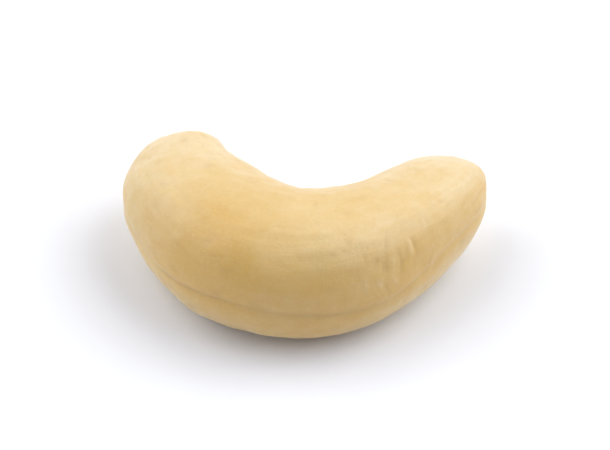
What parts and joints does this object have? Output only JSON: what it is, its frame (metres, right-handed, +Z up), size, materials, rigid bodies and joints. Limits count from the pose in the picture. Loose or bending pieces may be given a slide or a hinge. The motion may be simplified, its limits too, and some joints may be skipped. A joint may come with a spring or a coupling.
{
  "type": "roasted cashew nut",
  "caption": "Whole peeled roasted cashew kernel, a fat crescent with one fat end and one thin end, lying on its flatter cheek.",
  "frame": {"origin": "on the resting surface, under the middle of the nut's box", "axes": "+X from the fat end to the thin end, +Y from the round back to the open side of the crescent, +Z up through the nut's thickness"},
  "size_m": [0.028, 0.019, 0.0103],
  "materials": {
    "kernel": "waxy satin, cream to golden tan"
  },
  "bodies": {
    "root": {"cashew_kernel": "kernel"}
  },
  "joints": []
}
